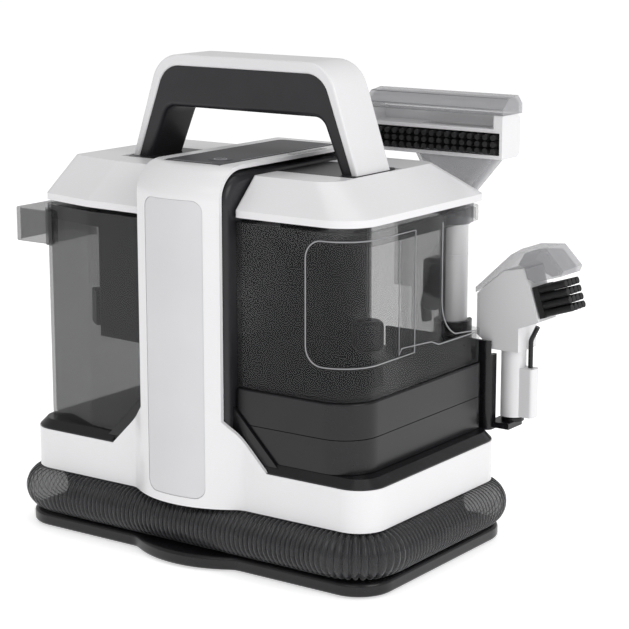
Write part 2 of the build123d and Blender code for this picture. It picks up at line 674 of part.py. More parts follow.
def rear_dock():
    """Dark panel behind the dirty tank that carries the stowed tools."""
    back = DOCK_Y + 3.0
    points = [(54, DOCK_Y), (156, DOCK_Y), (156, 112), (152, 112), (152, back), (54, back)]
    panel = rise(rounded(points, [0.5, 6.0, 1.5, 1.5, 2.0, 0.5]), DOCK_LOW, DOCK_HIGH)
    panel += block(70, 140, BODY_Y + 0.1, DOCK_Y + 0.2, DOCK_LOW, DOCK_LOW + 4)
    panel -= block(151, 157, back + 0.2, 113, 148, DOCK_HIGH + 1)
    cup = rod(WAND_X, WAND_Y, HOSE_END + 10, 169, WAND_R + 4.0)
    cup -= rod(WAND_X, WAND_Y, HOSE_END + 9, 170, WAND_R + 0.15)
    cup -= block(WAND_X - 8, WAND_X + 8, WAND_Y, WAND_Y + 30, HOSE_END + 9, 170)
    neck = block(WAND_X - 9, WAND_X + 9, back - 0.2, WAND_Y - WAND_R - 1, HOSE_END + 10, DOCK_HIGH)
    arm = block(152, SMALL_X + 6, 105, SMALL_Y + 5, 87, 91.8)
    peg = rod(SMALL_X, SMALL_Y, 91.5, 94.5, 9.5) + rod(SMALL_X, SMALL_Y, 94, 122, 7.2)
    return panel + cup + neck + arm + peg


def wand_tube():
    """Wand tube with the valve body on its inner side."""
    tube = rod(WAND_X, WAND_Y, WAND_LOW, WAND_HIGH, WAND_R)
    tube -= rod(WAND_X, WAND_Y, WAND_LOW - 1, WAND_HIGH + 1, WAND_R - 2.4)
    tube -= rod(WAND_X, WAND_Y, 224.5, 225.5, WAND_R + 1) - rod(WAND_X, WAND_Y, 224, 226, WAND_R - 0.5)
    body = block(WAND_X - 24, WAND_X - 8, WAND_Y - 9, WAND_Y + 9, 176, 220)
    body = fillet(body.edges().filter_by(Axis.Y), 5) - rod(WAND_X, WAND_Y, 170, 230, WAND_R - 1)
    body -= block(WAND_X - 30, WAND_X - 15, WAND_Y - 5.4, WAND_Y + 5.4, 170, 210)
    return tube + body - rod_y(WAND_X - 19, WAND_Y - 12, WAND_Y + 12, TRIGGER_Z, 1.65)


def trigger_pin():
    return rod_y(WAND_X - 19, WAND_Y - 8.5, WAND_Y + 8.5, TRIGGER_Z, 1.6)


def spray_trigger():
    """Trigger on the inner side of the wand, hinged on the pin."""
    profile = [(16.5, 206), (22.5, 206), (29, 180), (27, 164), (23.5, 164), (24.5, 180), (16.5, 196)]
    solid = prism_y([(WAND_X - out, z) for out, z in profile], WAND_Y - 5, WAND_Y + 5)
    return solid - rod_y(WAND_X - 19, WAND_Y - 12, WAND_Y + 12, TRIGGER_Z, 1.65)


def neck_loft(inset):
    """Loft from the round wand tube to the wide mouth of the nozzle."""
    round_side = 2 * (WAND_R + 1.5 - inset)
    low = RectangleRounded(round_side, round_side, round_side / 2 - 0.05)
    high = RectangleRounded(78 - 2 * inset, 22 - 2 * inset, 6 - inset / 2)
    foot = Pos(WAND_X, WAND_Y, WAND_HIGH + 4) * low
    return loft([foot, Pos(WAND_X + 4, WAND_Y + 1, NOZZLE_LOW) * high])


def nozzle_neck():
    """Flattened neck that spreads from the wand tube to the wide nozzle."""
    neck = neck_loft(0.0) - neck_loft(2.5)
    low = WAND_HIGH - 16
    sleeve = rod(WAND_X, WAND_Y, low, WAND_HIGH + 4, WAND_R + 1.5)
    sleeve += block(WAND_X - 8, WAND_X + 8, WAND_Y + 8, WAND_Y + 17.5, low - 1, WAND_HIGH + 1)
    sleeve -= rod(WAND_X, WAND_Y, low - 2, WAND_HIGH + 0.5, WAND_R + 0.08)
    floor = WAND_Y + WAND_R + 1.5
    sleeve -= block(WAND_X - 5.3, WAND_X + 5.3, floor, floor + 6, WAND_HIGH - 14.3, WAND_HIGH - 1.7)
    return neck + sleeve - rod(WAND_X, WAND_Y, low - 1, WAND_HIGH + 5, WAND_R - 1.5)


def nozzle_frame():
    """White body of the wide nozzle, with the bristle channel facing the front."""
    low = NOZZLE_LOW + 0.2
    outer = block(NOZZLE_LEFT, NOZZLE_RIGHT, 109, 138, low, low + 35)
    outer = fillet(outer.edges().filter_by(Axis.X).sort_by(Axis.Y)[-2:], 6)
    outer -= block(NOZZLE_LEFT + 2.5, NOZZLE_RIGHT - 2.5, 108, 120, low + 3, low + 21)
    outer -= block(NOZZLE_LEFT + 2.5, NOZZLE_RIGHT - 8, 108, 134, low + 24, low + 37)
    return outer - block(WAND_X - 30, WAND_X + 36, 117, 131, low - 3, low + 27)


def nozzle_cover():
    low = NOZZLE_LOW + 35.4
    outer = [(108.2, 0), (108.2, 5), (117, 13), (132, 15), (139, 8), (139, 0)]
    inner = [(110.2, -1), (110.2, 4), (118, 11), (131, 13), (137, 7), (137, -1)]
    hood = prism_x([(y, low + z) for y, z in outer], NOZZLE_LEFT - 1, NOZZLE_RIGHT + 1)
    return hood - prism_x([(y, low + z) for y, z in inner], NOZZLE_LEFT + 1, NOZZLE_RIGHT - 1)


def wide_bristles():
    low = NOZZLE_LOW + 3.6
    base = block(NOZZLE_LEFT + 3, NOZZLE_RIGHT - 3, 116, 119.8, low, low + 17.2)
    for row in range(3):
        for step in range(17):
            base += rod_y(NOZZLE_LEFT + 8 + 7.2 * step, 105.5, 116, low + 3.1 + 5.5 * row, 2.3)
    return base


def nozzle_latch():
    """Sprung key on the back of the nozzle collar."""
    near = WAND_Y + WAND_R + 3.4
    solid = block(WAND_X - 5, WAND_X + 5, near, near + 3, WAND_HIGH - 14, WAND_HIGH - 2)
    return fillet(solid.edges().filter_by(Axis.Y), 2)


def small_tube():
    tube = rod(SMALL_X, SMALL_Y, 95.5, NECK_LOW - 0.2, SMALL_R)
    box = block(SMALL_X + 8, SMALL_X + 21, SMALL_Y - 6, SMALL_Y + 6, 96, 137)
    box = fillet(box.edges().filter_by(Axis.Z).sort_by(Axis.X)[-2:], 3)
    return tube + box - rod(SMALL_X, SMALL_Y, 90, 161, 7.6)


def small_water_tube():
    """Thin water line from the coupling to the small brush head."""
    x = SMALL_X + 15.5
    line = FilletPolyline((x, SMALL_Y, 137.2), (x, SMALL_Y, 160), (x + 6, SMALL_Y, 172), radius=10)
    return sweep(Plane(line @ 0, z_dir=line % 0) * Circle(2.0), line)


def small_neck():
    """White body of the small brush head."""
    outer = [(-27, 163), (-27, 197), (-2, 218), (16.2, 222), (30.1, 179)]
    outer += [(12, 172), (12, NECK_LOW), (-12, NECK_LOW)]
    inner = [(-24, 165), (-24, 195.5), (-1, 215), (13.8, 218.4), (26.4, 180.5)]
    inner += [(9, 174), (9, 140), (-9, 140), (-9, 155)]
    solid = prism_y([(SMALL_X + x, z) for x, z in outer], SMALL_Y - 15, SMALL_Y + 15)
    return solid - prism_y([(SMALL_X + x, z) for x, z in inner], SMALL_Y - 12.5, SMALL_Y + 12.5)


def small_cover():
    """Translucent cover over the small brush head, with two cheeks beside the bristles."""
    outer = [(-28, 197.8), (-28, 202), (4, 232), (14, 238), (36, 240), (52, 224)]
    outer += [(50, 219), (26, 211.6), (19.6, 214), (16.6, 222.6), (-2.4, 218.6)]
    inner = [(10, 224), (16, 234.5), (35, 236), (47.5, 223.5), (47, 212), (15, 205), (17.2, 222.6)]
    solid = prism_y([(SMALL_X + x, z) for x, z in outer], SMALL_Y - 16, SMALL_Y + 16)
    return solid - prism_y([(SMALL_X + x, z) for x, z in inner], SMALL_Y - 14, SMALL_Y + 14)


def small_bristles():
    """Bristle block of the small tool and its rows, facing up and outward."""
    place = Pos(SMALL_X + 28.8, SMALL_Y, 195) * Rot(0, -18, 0)
    brush = place * Box(5, 26, 26)
    for row in range(4):
        for step in range(4):
            tuft = Pos(14, -9.6 + 6.4 * step, -9.9 + 6.6 * row) * Rot(0, 90, 0) * Cylinder(2.8, 26)
            brush += place * tuft
    return brush


def hose_route():
    """Centre line of the hose: once round the base, then up behind to the wand."""
    half_x = BODY_X - HOSE_INSET
    half_y = BODY_Y - HOSE_INSET
    z = HOSE_Z
    round_base = [(HOSE_START, half_y, z), (half_x, half_y, z), (half_x, -half_y, z), (-half_x, -half_y, z)]
    leave = [(-half_x, half_y, z), (-100.0, half_y, z), (-56.0, half_y + 27.0, z + 1.0)]
    climb = [(0.0, half_y + 27.0, z + 14.0), (WAND_X, WAND_Y, 72.0), (WAND_X, WAND_Y, HOSE_END)]
    radii = [HOSE_BEND, HOSE_BEND, HOSE_BEND, HOSE_BEND, 60.0, 60.0, 90.0, 48.0]
    return round_base + leave + climb, radii


def hose():
    """Hose as a plain tube along its stowed route."""
    points, radii = hose_route()
    line = FilletPolyline(*points, radius=radii)
    ring = Plane(line @ 0, z_dir=line % 0) * (Circle(HOSE_R) - Circle(HOSE_R - 2.2))
    solid = sweep(ring, line)
    print("hose length", round(line.length, 1), "bend radii", radii)
    return solid


def hose_cuff():
    """Rubber cuff that joins the hose to the foot of the wand."""
    cuff = rod(WAND_X, WAND_Y, HOSE_END + 0.2, HOSE_END + 9.5, HOSE_R - 0.5)
    cuff += rod(WAND_X, WAND_Y, HOSE_END + 9, WAND_LOW - 0.2, WAND_R)
    return cuff - rod(WAND_X, WAND_Y, HOSE_END, WAND_LOW, WAND_R - 2.4)


def cord_inlet():
    """Rubber bushing in the rear cover where a mains lead enters."""
    bush = rod_y(CORD_X, 94, 103.5, CORD_Z, 7.0) + rod_y(CORD_X, 99.2, 103.5, CORD_Z, 9.5)
    return bush - rod_y(CORD_X, 90, 110, CORD_Z, 3.6)


NODES = {
    "base_plate": base_plate,
    "rubber_feet": rubber_feet,
    "base_screws": base_screws,
    "hose_core": hose_core,
    "front_shell": front_shell,
    "rear_shell": rear_shell,
    "column_inlay": column_inlay,
    "deck_tray_right": lambda: deck_tray(1),
    "deck_tray_left": deck_tray_left,
    "tower_core": tower_core,
    "control_panel": control_panel,
    "power_button": power_button,
    "circuit_board": circuit_board,
    "indicator_lens": indicator_lens,
    "lower_motor_case": lower_motor_case,
    "upper_motor_case": upper_motor_case,
    "vacuum_motor": vacuum_motor,
    "fan_housing": fan_housing,
    "impeller": impeller,
    "water_pump": water_pump,
    "pump_shelf": pump_shelf,
    "pump_hose": pump_hose,
    "exhaust_muffler": exhaust_muffler,
    "foot_plate_right": lambda: foot_plate(1),
    "foot_plate_left": lambda: foot_plate(-1),
    "handle_shell": handle_shell,
    "handle_grip": handle_grip,
    "handle_screws": handle_screws,
    "clean_tank_shell": clean_tank_shell,
    "clean_tank_deck": lambda: tank_deck(-1),
    "clean_fill_plug": lambda: fill_plug(-1),
    "clean_tank_lid": lambda: tank_lid(-1),
    "clean_tank_pull": clean_tank_pull,
    "filter_housing": filter_housing,
    "valve_plunger": valve_plunger,
    "valve_socket": valve_socket,
    "dirty_tank_shell": lambda: tank_shell(1, CASE_TOP + GAP),
    "dirty_tank_deck": dirty_tank_deck,
    "dirty_drain_plug": lambda: fill_plug(1),
    "dirty_tank_lid": lambda: tank_lid(1),
    "separator_duct": separator_duct,
    "spray_baffle": spray_baffle,
    "float_ball": float_ball,
    "rear_dock": rear_dock,
    "wand_tube": wand_tube,
    "trigger_pin": trigger_pin,
    "spray_trigger": spray_trigger,
    "nozzle_neck": nozzle_neck,
    "nozzle_frame": nozzle_frame,
    "nozzle_cover": nozzle_cover,
    "wide_bristles": wide_bristles,
    "nozzle_latch": nozzle_latch,
    "small_tube": small_tube,
    "small_neck": small_neck,
    "small_cover": small_cover,
    "small_bristles": small_bristles,
    "small_water_tube": small_water_tube,
    "hose": hose,
    "hose_cuff": hose_cuff,
    "cord_inlet": cord_inlet,
}

for node, make in NODES.items():
    save(node, make())
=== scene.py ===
import math

import bpy
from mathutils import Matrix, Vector


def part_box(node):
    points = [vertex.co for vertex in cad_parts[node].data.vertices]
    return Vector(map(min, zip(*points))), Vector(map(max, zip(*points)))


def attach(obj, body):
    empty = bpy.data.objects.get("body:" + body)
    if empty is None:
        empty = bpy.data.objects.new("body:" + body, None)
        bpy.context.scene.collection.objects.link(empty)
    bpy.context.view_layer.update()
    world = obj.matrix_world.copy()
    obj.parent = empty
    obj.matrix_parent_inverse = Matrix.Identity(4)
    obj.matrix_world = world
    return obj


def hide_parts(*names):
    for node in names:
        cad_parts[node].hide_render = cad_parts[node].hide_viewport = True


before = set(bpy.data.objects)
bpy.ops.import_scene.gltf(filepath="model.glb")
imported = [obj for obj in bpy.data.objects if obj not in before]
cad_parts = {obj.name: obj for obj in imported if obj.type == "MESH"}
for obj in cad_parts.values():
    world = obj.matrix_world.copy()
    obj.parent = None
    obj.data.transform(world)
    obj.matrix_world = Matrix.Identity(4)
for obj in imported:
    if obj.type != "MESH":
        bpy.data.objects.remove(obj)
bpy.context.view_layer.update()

# Lengths below are in millimetres unless a comment says otherwise.
MM = 0.001

# Hose: centre line of its run round the base, and its end at the wand.
RUN_X, RUN_Y, RUN_Z = 166.8, 95.8, 31.2
HOSE_START = 84
CORNER_REACH = 64.0        # control point on each side of a corner of the run
BEHIND = 27                # how far the hose moves out behind the machine
WAND_X, WAND_Y = 106.5, 122.5
WAND_BEND, WAND_FOOT = 72, 116
RIB_PITCH = 4.4
RIB_RADII = (16.2, 16.9, 17.9, 18.4, 18.5, 18.4, 17.9, 16.9)
HOSE_SIDES = 56

# Dirty tank: outer faces of the wall, and the ridges moulded on it.
TANK_OUT, TANK_FRONT, TANK_CORNER = 154.2, -93.2, 30.2
PANE_LEFT, PANE_END = 109.6, -12.0
PANE_LOW, PANE_TOP = 172.0, 267.0
PANE_ROUND = 14.4
WRAP_START = -86           # where the ridge meets the tank's corner arc, in degrees
NOTCH_Y, NOTCH_LOW, NOTCH_ROUND = 27, 206, 32

# Control panel and its marks.
PANEL_TOP = 315.0
MARK_RISE = 0.42           # panel marks above PANEL_TOP
BUTTON_RISE = 0.82         # button marks above PANEL_TOP
BUTTON_X, BUTTON_Y = 10.0, -66.0
MARK_THICK = 0.12

# Studio, in metres.
FLOOR_HALF = 30
AIM = (0, 0, 0.2)


# ---------------------------------------------------------------- materials

def material(name, colour, rough=0.35, metal=0.0, alpha=1.0, coat=0.0, shine=0.5):
    """Principled material before its colour variation is added."""
    mat = bpy.data.materials.new(name)
    mat.use_nodes = True
    shader = mat.node_tree.nodes["Principled BSDF"]
    shader.inputs["Base Color"].default_value = (*colour, 1.0)
    shader.inputs["Roughness"].default_value = rough
    shader.inputs["Metallic"].default_value = metal
    shader.inputs["Alpha"].default_value = alpha
    shader.inputs["Coat Weight"].default_value = coat
    shader.inputs["Coat Roughness"].default_value = 0.08
    shader.inputs["IOR"].default_value = 1.46
    shader.inputs["Specular IOR Level"].default_value = shine
    return mat


def set_value(mat, socket, value):
    """Set one value on a material's shader."""
    mat.node_tree.nodes["Principled BSDF"].inputs[socket].default_value = value


def mottle(mat, light, dark, scale):
    """Vary the colour of a material with fine noise in object space."""
    tree = mat.node_tree
    coord = tree.nodes.new("ShaderNodeTexCoord")
    noise = tree.nodes.new("ShaderNodeTexNoise")
    ramp = tree.nodes.new("ShaderNodeValToRGB")
    noise.inputs["Scale"].default_value = scale
    noise.inputs["Detail"].default_value = 3.0
    ramp.color_ramp.elements[0].position = 0.35
    ramp.color_ramp.elements[0].color = (*dark, 1.0)
    ramp.color_ramp.elements[1].position = 0.65
    ramp.color_ramp.elements[1].color = (*light, 1.0)
    tree.links.new(coord.outputs["Object"], noise.inputs["Vector"])
    tree.links.new(noise.outputs["Fac"], ramp.inputs["Fac"])
    tree.links.new(ramp.outputs["Color"], tree.nodes["Principled BSDF"].inputs["Base Color"])
    return mat


def see_through(mat, face, edge):
    """Clear plastic: denser where the wall is seen edge on."""
    tree = mat.node_tree
    weight = tree.nodes.new("ShaderNodeLayerWeight")
    weight.inputs["Blend"].default_value = 0.25
    scale = tree.nodes.new("ShaderNodeMapRange")
    scale.inputs["To Min"].default_value = face
    scale.inputs["To Max"].default_value = min(1.0, face + edge)
    tree.links.new(weight.outputs["Facing"], scale.inputs["Value"])
    tree.links.new(scale.outputs[0], tree.nodes["Principled BSDF"].inputs["Alpha"])
    return mat


def grain(mat, scale, depth):
    """Fine moulded texture as bump."""
    tree = mat.node_tree
    coord = tree.nodes.new("ShaderNodeTexCoord")
    noise = tree.nodes.new("ShaderNodeTexNoise")
    bump = tree.nodes.new("ShaderNodeBump")
    noise.inputs["Scale"].default_value = scale
    noise.inputs["Detail"].default_value = 2.0
    bump.inputs["Strength"].default_value = depth
    bump.inputs["Distance"].default_value = 0.0004
    tree.links.new(coord.outputs["Object"], noise.inputs["Vector"])
    tree.links.new(noise.outputs["Fac"], bump.inputs["Height"])
    tree.links.new(bump.outputs["Normal"], tree.nodes["Principled BSDF"].inputs["Normal"])
    return mat


def either_of(tree, first, second):
    """One where either of two tests is one."""
    either = tree.nodes.new("ShaderNodeMath")
    either.operation = "MAXIMUM"
    tree.links.new(first, either.inputs[0])
    tree.links.new(second, either.inputs[1])
    return either.outputs[0]


def clear_window(mat, tint, pale):
    """Tint a tank except at its upper rear outer corner, past three planes in metres."""
    tree = mat.node_tree
    coord = tree.nodes.new("ShaderNodeTexCoord")
    split = tree.nodes.new("ShaderNodeSeparateXYZ")
    tree.links.new(coord.outputs["Object"], split.inputs[0])
    tests = []
    for axis, limit in (("X", 0.112), ("Y", 0.027), ("Z", 0.172)):
        test = tree.nodes.new("ShaderNodeMath")
        test.operation = "LESS_THAN"
        test.inputs[1].default_value = limit
        tree.links.new(split.outputs[axis], test.inputs[0])
        tests.append(test.outputs[0])
    tinted = either_of(tree, either_of(tree, tests[0], tests[1]), tests[2])
    scale = tree.nodes.new("ShaderNodeMapRange")
    scale.inputs["To Min"].default_value = pale
    scale.inputs["To Max"].default_value = tint
    tree.links.new(tinted, scale.inputs["Value"])
    tree.links.new(scale.outputs[0], tree.nodes["Principled BSDF"].inputs["Alpha"])
    return mat


WHITE = mottle(material("white_gloss", (0.80, 0.80, 0.81), 0.28, coat=0.2),
               (0.805, 0.800, 0.812), (0.79, 0.785, 0.797), 18.0)
INLAY = mottle(material("inlay_grey", (0.66, 0.66, 0.675), 0.34),
               (0.665, 0.662, 0.678), (0.645, 0.642, 0.658), 22.0)
BLACK = mottle(material("satin_black", (0.010, 0.010, 0.011), 0.26, shine=0.4),
               (0.0105, 0.0100, 0.0115), (0.0085, 0.0082, 0.0095), 60.0)
CHARCOAL = mottle(material("charcoal", (0.020, 0.020, 0.022), 0.30, shine=0.4),
                  (0.021, 0.020, 0.023), (0.018, 0.0175, 0.020), 50.0)
PANEL = grain(mottle(material("panel_grey", (0.075, 0.075, 0.08), 0.45, shine=0.4),
                     (0.077, 0.077, 0.083), (0.070, 0.070, 0.076), 40.0), 900.0, 0.02)
LENS = mottle(material("lens", (0.05, 0.05, 0.055), 0.12), (0.05, 0.05, 0.055), (0.04, 0.04, 0.045), 30.0)
SMOKY = see_through(mottle(material("smoky_clear", (0.03, 0.03, 0.031), 0.06),
                           (0.032, 0.032, 0.033), (0.028, 0.028, 0.029), 12.0), 0.40, 0.25)
CLEAR = clear_window(mottle(material("pale_clear", (0.03, 0.03, 0.031), 0.05),
                            (0.032, 0.032, 0.033), (0.028, 0.028, 0.029), 12.0), 0.26, 0.03)
DUCT = see_through(mottle(material("clear_insert", (0.10, 0.10, 0.105), 0.10),
                          (0.10, 0.10, 0.105), (0.09, 0.09, 0.095), 14.0), 0.10, 0.35)
COVER = see_through(mottle(material("grey_clear", (0.40, 0.40, 0.42), 0.10),
                           (0.41, 0.41, 0.43), (0.38, 0.38, 0.40), 14.0), 0.42, 0.4)
# Light grey on the ridge beads is a painted highlight: it stands in for the light that the clear moulded
# edges catch.
RIDGE_HIGHLIGHT_PAINT = mottle(material("ridge_painted_highlight", (0.30, 0.30, 0.31), 0.12),
              (0.31, 0.31, 0.32), (0.27, 0.27, 0.28), 20.0)
HOSE = mottle(material("hose_smoke", (0.040, 0.040, 0.043), 0.30, alpha=0.66),
              (0.043, 0.043, 0.046), (0.036, 0.036, 0.039), 35.0)
set_value(HOSE, "Sheen Weight", 0.6)
set_value(HOSE, "Sheen Roughness", 0.25)
BRISTLE = grain(mottle(material("bristle", (0.010, 0.010, 0.011), 0.55),
                       (0.014, 0.014, 0.015), (0.008, 0.008, 0.009), 300.0), 1500.0, 0.3)
RUBBER = grain(mottle(material("rubber", (0.018, 0.018, 0.020), 0.7),
                      (0.020, 0.020, 0.022), (0.015, 0.015, 0.017), 80.0), 1200.0, 0.2)
STEEL = grain(mottle(material("steel", (0.60, 0.60, 0.62), 0.30, metal=1.0),
                     (0.62, 0.62, 0.64), (0.55, 0.55, 0.57), 200.0), 1500.0, 0.08)
METAL = grain(mottle(material("cast_metal", (0.55, 0.55, 0.57), 0.42, metal=1.0),
                     (0.57, 0.57, 0.59), (0.50, 0.50, 0.52), 90.0), 900.0, 0.2)
NYLON = mottle(material("nylon", (0.62, 0.62, 0.60), 0.45), (0.63, 0.63, 0.61), (0.59, 0.59, 0.57), 40.0)
BOARD = mottle(material("board", (0.02, 0.13, 0.06), 0.4), (0.025, 0.15, 0.07), (0.015, 0.11, 0.05), 90.0)
FOAM = grain(mottle(material("foam", (0.05, 0.05, 0.05), 0.95),
                    (0.07, 0.07, 0.07), (0.02, 0.02, 0.02), 400.0), 900.0, 1.0)
TUBING = mottle(material("tubing", (0.6, 0.6, 0.6), 0.2, alpha=0.5),
                (0.62, 0.62, 0.62), (0.58, 0.58, 0.58), 20.0)
PRINT = mottle(material("print_grey", (0.55, 0.55, 0.57), 0.5), (0.56, 0.56, 0.58), (0.53, 0.53, 0.55), 30.0)
FLOOR = mottle(material("floor_white", (0.90, 0.90, 0.90), 0.6),
               (0.905, 0.905, 0.905), (0.895, 0.895, 0.895), 0.8)
set_value(FLOOR, "Emission Color", (1.0, 1.0, 1.0, 1.0))
set_value(FLOOR, "Emission Strength", 0.58)

LOOKS = {
    "base_plate": BLACK, "rubber_feet": RUBBER, "base_screws": STEEL, "hose_core": BLACK,
    "front_shell": WHITE, "rear_shell": WHITE, "column_inlay": INLAY, "deck_tray_right": BLACK,
    "deck_tray_left": BLACK, "tower_core": CHARCOAL, "control_panel": PANEL, "power_button": PANEL,
    "circuit_board": BOARD, "indicator_lens": LENS, "lower_motor_case": BLACK, "upper_motor_case": BLACK,
    "vacuum_motor": METAL, "fan_housing": BLACK, "impeller": NYLON, "water_pump": BLACK,
    "pump_shelf": BLACK, "pump_hose": TUBING, "exhaust_muffler": FOAM, "foot_plate_right": CHARCOAL,
    "foot_plate_left": CHARCOAL, "handle_shell": WHITE, "handle_grip": CHARCOAL, "handle_screws": STEEL,
    "clean_tank_shell": SMOKY, "clean_tank_deck": CHARCOAL, "clean_fill_plug": RUBBER,
    "clean_tank_lid": WHITE, "clean_tank_pull": SMOKY, "filter_housing": CHARCOAL,
    "valve_plunger": BLACK, "valve_socket": BLACK, "dirty_tank_shell": CLEAR, "dirty_tank_deck": DUCT,
    "dirty_drain_plug": RUBBER, "dirty_tank_lid": WHITE, "separator_duct": DUCT, "spray_baffle": DUCT,
    "float_ball": CHARCOAL, "rear_dock": BLACK, "wand_tube": WHITE, "trigger_pin": STEEL,
    "spray_trigger": BLACK, "nozzle_neck": COVER, "nozzle_frame": WHITE, "nozzle_cover": COVER,
    "wide_bristles": BRISTLE, "nozzle_latch": BLACK, "small_tube": WHITE, "small_neck": WHITE,
    "small_cover": COVER, "small_bristles": BRISTLE, "small_water_tube": BLACK, "hose": HOSE,
    "hose_cuff": RUBBER, "cord_inlet": RUBBER,
}
for name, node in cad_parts.items():
    node.data.materials.clear()
    node.data.materials.append(LOOKS[name])


# ---------------------------------------------------------------- helpers

def place_piece(name, data, mat, body):
    """Put a mesh or curve in the scene, riding on a body."""
    data.materials.append(mat)
    obj = bpy.data.objects.new(name, data)
    bpy.context.scene.collection.objects.link(obj)
    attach(obj, body)
    return obj


def add_mesh(name, verts, faces, mat, body, smooth=True):
    """Make a mesh object from vertices in millimetres and faces, riding on a body."""
    mesh = bpy.data.meshes.new(name)
    mesh.from_pydata([(x * MM, y * MM, z * MM) for x, y, z in verts], [], faces)
    mesh.update()
    if smooth:
        mesh.shade_smooth()
    return place_piece(name, mesh, mat, body)


def spline_line(name, points, steps):
    """Points along the NURBS spline that a list of control points sets."""
    curve = bpy.data.curves.new(name, "CURVE")
    curve.dimensions = "3D"
    curve.resolution_u = steps
    spline = curve.splines.new("NURBS")
    spline.points.add(len(points) - 1)
    for item, point in zip(spline.points, points):
        item.co = (*point, 1.0)
    spline.order_u = 3
    spline.use_endpoint_u = True
    holder = bpy.data.objects.new(name, curve)
    mesh = bpy.data.meshes.new_from_object(holder)
    line = [vert.co.copy() for vert in mesh.vertices]
    bpy.data.objects.remove(holder)
    bpy.data.meshes.remove(mesh)
    return line


def bead(name, points, radius, body, closed=False):
    """Thin moulded ridge along a polyline; the ridge shape is real, its light grey colour is a painted
    highlight.
    """
    curve = bpy.data.curves.new(name, "CURVE")
    curve.dimensions = "3D"
    curve.bevel_depth = radius * MM
    curve.bevel_resolution = 2
    spline = curve.splines.new("POLY")
    spline.points.add(len(points) - 1)
    for item, point in zip(spline.points, points):
        item.co = (*(value * MM for value in point), 1.0)
    spline.use_cyclic_u = closed
    curve.use_fill_caps = not closed
    return place_piece(name, curve, RIDGE_HIGHLIGHT_PAINT, body)


def arc(centre, radius, start, end, count=12):
    """Points of an arc in a plane."""
    turns = [math.radians(start + (end - start) * k / count) for k in range(count + 1)]
    return [(centre[0] + radius * math.cos(t), centre[1] + radius * math.sin(t)) for t in turns]


def resample(line, step):
    """Points every step along a polyline."""
    out = [line[0]]
    left = step
    for a, b in zip(line, line[1:]):
        length = (b - a).length
        done = 0.0
        while length - done >= left:
            done += left
            out.append(a + (b - a) * (done / length))
            left = step
        left -= length - done
    return out


def tube_along(name, centres, radii, sides, mat, body):
    """Tube of changing radius along a list of centres."""
    verts = []
    faces = []
    up = Vector((0, 0, 1))
    last = None
    for i, point in enumerate(centres):
        ahead = centres[min(i + 1, len(centres) - 1)] - centres[max(i - 1, 0)]
        ahead.normalize()
        right = ahead.cross(up)
        if right.length < 0.2:
            right = ahead.cross(Vector((0, 1, 0)))
        right.normalize()
        if last is not None:
            right = (last - ahead * last.dot(ahead)).normalized()
        last = right.copy()
        over = right.cross(ahead).normalized()
        for k in range(sides):
            turn = 2 * math.pi * k / sides
            verts.append(tuple(point + (right * math.cos(turn) + over * math.sin(turn)) * radii[i]))
    for i in range(len(centres) - 1):
        for k in range(sides):
            a = i * sides + k
            b = i * sides + (k + 1) % sides
            faces.append((a, b, b + sides, a + sides))
    return add_mesh(name, verts, faces, mat, body)


# ---------------------------------------------------------------- hose

hose_points = [
    (HOSE_START, RUN_Y, RUN_Z),
    (RUN_X - CORNER_REACH, RUN_Y, RUN_Z), (RUN_X, RUN_Y, RUN_Z), (RUN_X, RUN_Y - CORNER_REACH, RUN_Z),
    (RUN_X, CORNER_REACH - RUN_Y, RUN_Z), (RUN_X, -RUN_Y, RUN_Z), (RUN_X - CORNER_REACH, -RUN_Y, RUN_Z),
    (CORNER_REACH - RUN_X, -RUN_Y, RUN_Z), (-RUN_X, -RUN_Y, RUN_Z), (-RUN_X, CORNER_REACH - RUN_Y, RUN_Z),
    (-RUN_X, RUN_Y - CORNER_REACH, RUN_Z), (-RUN_X, RUN_Y, RUN_Z), (-100, RUN_Y, RUN_Z),
    (-56, RUN_Y + BEHIND, RUN_Z + 1), (0, RUN_Y + BEHIND, RUN_Z + 14),
    (WAND_X, WAND_Y, WAND_BEND), (WAND_X, WAND_Y, WAND_FOOT),
]
route = resample(spline_line("hose_route", hose_points, 24), RIB_PITCH / len(RIB_RADII))
ribs = [RIB_RADII[i % len(RIB_RADII)] for i in range(len(route))]
hose = tube_along("ribbed_hose", route, ribs, HOSE_SIDES, HOSE, "machine")
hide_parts("hose")

# ---------------------------------------------------------------- dirty tank ridges

# The window, shelf and notch ridges below are real moulded ridges, drawn in a light grey that paints their
# edge highlights.
corner_centre = (TANK_OUT - TANK_CORNER, TANK_FRONT + TANK_CORNER)
round_x = PANE_LEFT + PANE_ROUND

pane = [(x, TANK_FRONT, z) for x, z in arc((round_x, PANE_TOP - PANE_ROUND), PANE_ROUND, 90, 180, 8)]
pane += [(PANE_LEFT, TANK_FRONT, z) for z in (240, 210, 190)]
pane += [(x, TANK_FRONT, z) for x, z in arc((round_x, PANE_LOW + PANE_ROUND), PANE_ROUND, 180, 270, 8)]
pane += [(x, y, PANE_LOW) for x, y in arc(corner_centre, TANK_CORNER, WRAP_START, 0)]
pane += [(TANK_OUT, PANE_END, PANE_LOW), (TANK_OUT, PANE_END, PANE_TOP)]
pane += [(x, y, PANE_TOP) for x, y in arc(corner_centre, TANK_CORNER, 0, WRAP_START)]
bead("tank_window_ridge", pane, 0.55, "dirty_tank", closed=True)

shelf_line = [(-34, 262), (-34, 174), (-30, 178.5), (12, 176), (23, 171.8), (80, 171.4)]
bead("tank_shelf_ridge", [(TANK_OUT, y, z) for y, z in shelf_line], 0.5, "dirty_tank")

notch_line = [(NOTCH_Y, 268), (NOTCH_Y, NOTCH_LOW)]
notch_line += arc((NOTCH_Y + NOTCH_ROUND, NOTCH_LOW), NOTCH_ROUND, 180, 250, 10)
notch_line += [(80, 172.8)]
bead("tank_notch_ridge", [(TANK_OUT, y, z) for y, z in notch_line], 0.5, "dirty_tank")
